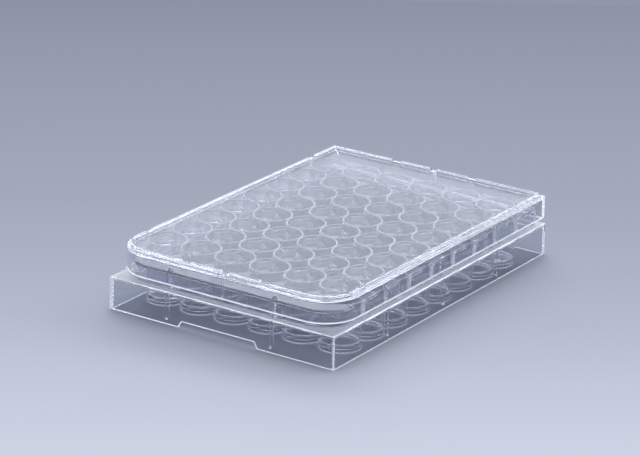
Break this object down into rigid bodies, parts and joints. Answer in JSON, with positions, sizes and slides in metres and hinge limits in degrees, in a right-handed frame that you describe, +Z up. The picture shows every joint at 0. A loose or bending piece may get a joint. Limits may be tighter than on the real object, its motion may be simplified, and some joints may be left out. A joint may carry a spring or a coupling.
{
  "type": "well plate with lid",
  "caption": "Clear moulded culture plate: a low rectangular tray of round flat-bottomed wells on a deep skirt, under a loose clear lid with a stacking rim.",
  "frame": {"origin": "middle of the footprint, on the plane that the skirt's bottom edge stands on", "axes": "+Z up, out of the wells; +X along the long side, away from the side with the rounded corners; +Y along the short side"},
  "size_m": [0.1278, 0.0854, 0.0218],
  "materials": {
    "clear_polystyrene_plate": "clear, polished mould",
    "clear_polystyrene_lid": "clear, polished mould"
  },
  "bodies": {
    "root": {"well_plate": "clear_polystyrene_plate", "lid": "clear_polystyrene_lid"}
  },
  "joints": []
}
